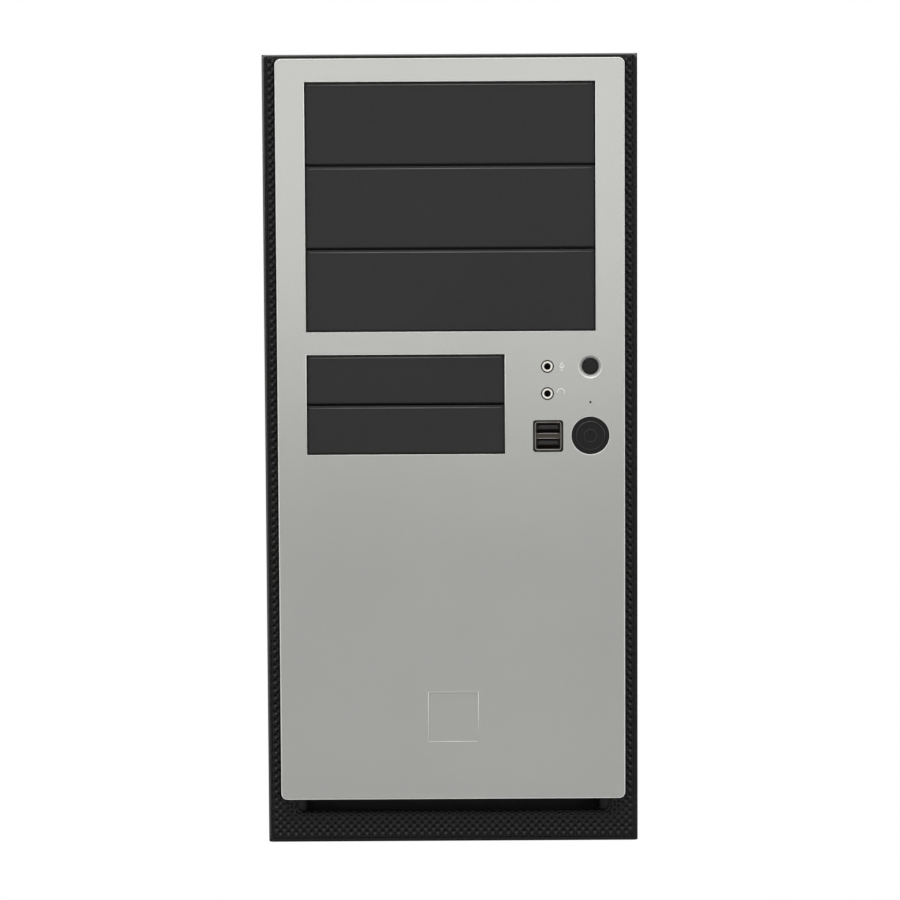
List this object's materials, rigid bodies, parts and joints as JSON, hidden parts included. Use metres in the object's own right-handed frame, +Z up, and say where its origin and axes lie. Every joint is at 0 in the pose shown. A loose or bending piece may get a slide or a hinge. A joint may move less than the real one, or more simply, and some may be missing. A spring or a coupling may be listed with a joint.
{
  "type": "desktop computer tower",
  "caption": "Mid-height desktop computer tower: black steel case, hinged black front bezel with a raised silver plate, blank drive bays, buttons and sockets, and a full interior.",
  "frame": {"origin": "on the floor under the middle of the bounding box", "axes": "+Z up, -Y out of the front, +X to the right of someone facing the front"},
  "size_m": [0.1924, 0.437, 0.418],
  "materials": {
    "black_steel": "satin black powder coat",
    "bare_steel": "plain zinc-plated sheet",
    "screw_steel": "nickel plate",
    "foot_rubber": "matte",
    "board_green": "varnished circuit board",
    "brass": "plain",
    "socket_plastic": "moulded",
    "cast_aluminium": "plain",
    "fan_plastic": "moulded",
    "can_aluminium": "drawn can",
    "coil_dark": "moulded ferrite",
    "socket_shell": "nickel-plated shell",
    "chrome_wire": "bright wire",
    "lead_sleeve": "woven sleeve",
    "bezel_plastic": "black, finely knurled face",
    "silver_plate": "satin silver",
    "filter_plastic": "moulded frame with mesh",
    "jack_metal": "nickel barrel",
    "light_lens": "clear tinted lens",
    "button_plastic": "black",
    "cover_plastic": "fine-grained black"
  },
  "bodies": {
    "chassis": {"chassis_base": "black_steel", "chassis_top": "black_steel", "chassis_front": "black_steel", "chassis_rear": "bare_steel", "motherboard_tray": "bare_steel", "optical_bay_cage": "bare_steel", "floppy_bay_cage": "bare_steel", "hard_drive_cage": "bare_steel", "feet": "foot_rubber", "thumbscrews": "screw_steel", "slot_covers": "bare_steel", "case_screws": "screw_steel", "motherboard": "board_green", "board_standoffs": "brass", "cpu_socket": "socket_plastic", "cpu_heatsink": "cast_aluminium", "cpu_fan_frame": "fan_plastic", "rear_fan_frame": "fan_plastic", "psu_fan_frame": "fan_plastic", "board_slots": "socket_plastic", "memory_modules": "board_green", "chipset_heatsinks": "cast_aluminium", "capacitors": "can_aluminium", "coils": "coil_dark", "board_sockets": "socket_plastic", "coin_cell": "screw_steel", "rear_port_block": "socket_shell", "io_shield": "bare_steel", "psu_housing": "bare_steel", "psu_fan_grille": "chrome_wire", "psu_inlet": "socket_plastic", "psu_circuit": "board_green", "hard_drive_body": "cast_aluminium", "hard_drive_lid": "bare_steel", "hard_drive_board": "board_green", "power_leads": "lead_sleeve", "drive_data_lead": "lead_sleeve", "bezel_hinge_pins": "screw_steel"},
    "front_bezel": {"front_bezel": "bezel_plastic", "front_plate": "silver_plate", "air_filter": "filter_plastic", "switch_board": "board_green", "usb_shell": "socket_shell", "usb_tongues": "socket_plastic", "audio_jacks": "jack_metal", "activity_light": "light_lens", "socket_board": "board_green"},
    "left_side_panel": {"left_side_panel": "black_steel"},
    "right_side_panel": {"right_side_panel": "black_steel"},
    "power_button": {"power_button": "button_plastic"},
    "reset_button": {"reset_button": "button_plastic"},
    "cpu_fan_rotor": {"cpu_fan_rotor": "fan_plastic"},
    "rear_fan_rotor": {"rear_fan_rotor": "fan_plastic"},
    "psu_fan_rotor": {"psu_fan_rotor": "fan_plastic"},
    "psu_switch": {"psu_switch": "socket_plastic"},
    "bay_cover_1": {"bay_cover_1": "cover_plastic"},
    "bay_cover_2": {"bay_cover_2": "cover_plastic"},
    "bay_cover_3": {"bay_cover_3": "cover_plastic"},
    "bay_cover_4": {"bay_cover_4": "cover_plastic"},
    "bay_cover_5": {"bay_cover_5": "cover_plastic"}
  },
  "joints": [
    {"name": "front_bezel_swing", "type": "hinge", "parent": "chassis", "child": "front_bezel", "pos_m": [0.09325, -0.1758, 0.209], "axis": [0, 0, 1], "range_deg": [0, 85]},
    {"name": "left_panel_swing", "type": "hinge", "parent": "chassis", "child": "left_side_panel", "pos_m": [-0.09625, -0.1723, 0.209], "axis": [0, 0, 1], "range_deg": [0, 75]},
    {"name": "right_panel_swing", "type": "hinge", "parent": "chassis", "child": "right_side_panel", "pos_m": [0.09625, -0.1723, 0.209], "axis": [0, 0, -1], "range_deg": [0, 75]},
    {"name": "bay_cover_1_pull", "type": "slide", "parent": "front_bezel", "child": "bay_cover_1", "axis": [0, -1, 0], "range_m": [0, 0.03]},
    {"name": "bay_cover_2_pull", "type": "slide", "parent": "front_bezel", "child": "bay_cover_2", "axis": [0, -1, 0], "range_m": [0, 0.03]},
    {"name": "bay_cover_3_pull", "type": "slide", "parent": "front_bezel", "child": "bay_cover_3", "axis": [0, -1, 0], "range_m": [0, 0.03]},
    {"name": "bay_cover_4_pull", "type": "slide", "parent": "front_bezel", "child": "bay_cover_4", "axis": [0, -1, 0], "range_m": [0, 0.03]},
    {"name": "bay_cover_5_pull", "type": "slide", "parent": "front_bezel", "child": "bay_cover_5", "axis": [0, -1, 0], "range_m": [0, 0.03]},
    {"name": "power_button_press", "type": "slide", "parent": "front_bezel", "child": "power_button", "axis": [0, 1, 0], "range_m": [0, 0.0015], "stiffness_N_per_m": 400, "springref_m": -0.002},
    {"name": "reset_button_press", "type": "slide", "parent": "front_bezel", "child": "reset_button", "axis": [0, 1, 0], "range_m": [0, 0.0015], "stiffness_N_per_m": 300, "springref_m": -0.002},
    {"name": "cpu_fan_spin", "type": "hinge", "parent": "chassis", "child": "cpu_fan_rotor", "pos_m": [0.0281, 0.109, 0.245], "axis": [1, 0, 0], "continuous": true},
    {"name": "rear_fan_spin", "type": "hinge", "parent": "chassis", "child": "rear_fan_rotor", "pos_m": [-0.026, 0.196, 0.254], "axis": [0, 1, 0], "continuous": true},
    {"name": "psu_fan_spin", "type": "hinge", "parent": "chassis", "child": "psu_fan_rotor", "pos_m": [-0.024, 0.1975, 0.371], "axis": [0, 1, 0], "continuous": true},
    {"name": "psu_switch_rock", "type": "hinge", "parent": "chassis", "child": "psu_switch", "pos_m": [0.048, 0.2035, 0.349], "axis": [0, 0, 1], "range_deg": [-7, 7]}
  ]
}
